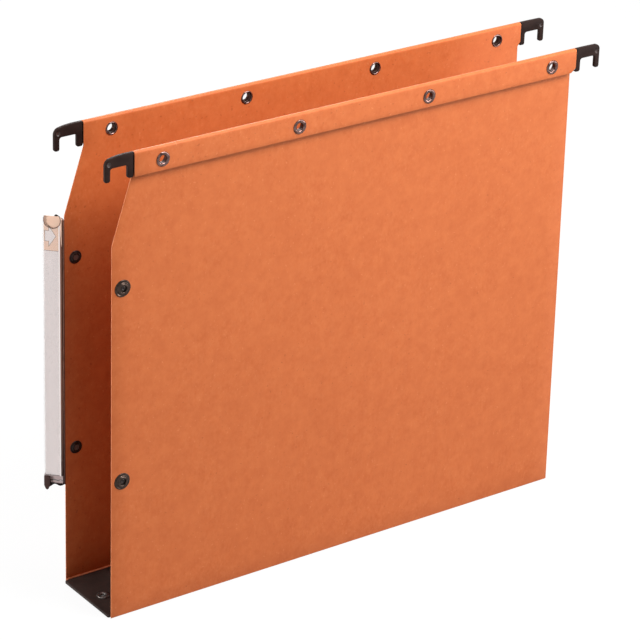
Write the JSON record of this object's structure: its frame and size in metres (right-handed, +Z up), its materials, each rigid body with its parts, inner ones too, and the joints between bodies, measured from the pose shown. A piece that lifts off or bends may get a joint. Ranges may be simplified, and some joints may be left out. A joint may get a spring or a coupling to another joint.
{
  "type": "hanging file folder",
  "caption": "Lateral hanging file folder in orange kraft card with a black box base, folded top rails with plastic hooks, metal eyelets, press studs and a slanted label holder.",
  "frame": {"origin": "middle of the base's underside, where the folder stands", "axes": "+Z up, +X along the folder's width to the right seen from the front, front panel on the -Y side"},
  "size_m": [0.3521, 0.0645, 0.29],
  "materials": {
    "kraft_card": "matte",
    "black_liner": "satin",
    "black_rivet": "satin",
    "zinc_rail": "satin",
    "dark_hook": "satin",
    "nickel_eyelet": "polished",
    "bronze_snap": "satin",
    "spring_wire": "satin",
    "brown_carrier": "satin",
    "clear_lens": "gloss",
    "label_paper": "matte"
  },
  "bodies": {
    "base": {"base_sheet": "kraft_card", "base_plate": "black_liner", "base_rivets": "black_rivet"},
    "front_leaf": {"front_panel": "kraft_card", "front_rail": "zinc_rail", "front_left_hook": "dark_hook", "front_right_hook": "dark_hook", "front_eyelets": "nickel_eyelet", "front_snap_sockets": "bronze_snap", "front_snap_springs": "spring_wire", "front_snap_posts": "bronze_snap"},
    "back_leaf": {"back_panel": "kraft_card", "back_rail": "zinc_rail", "back_left_hook": "dark_hook", "back_right_hook": "dark_hook", "back_eyelets": "nickel_eyelet", "back_snap_studs": "bronze_snap", "back_snap_posts": "bronze_snap", "label_carrier": "brown_carrier", "label_lens": "clear_lens"},
    "label": {"label_card": "label_paper"}
  },
  "joints": [
    {"name": "front_panel_fold", "type": "hinge", "parent": "base", "child": "front_leaf", "pos_m": [0, -0.025, 0.0003], "axis": [1, 0, 0], "range_deg": [-4, 90]},
    {"name": "back_panel_fold", "type": "hinge", "parent": "base", "child": "back_leaf", "pos_m": [0, 0.025, 0.0003], "axis": [-1, 0, 0], "range_deg": [-4, 90]},
    {"name": "label_card_slide", "type": "slide", "parent": "back_leaf", "child": "label", "axis": [0, 0, 1], "range_m": [0, 0.04]}
  ]
}
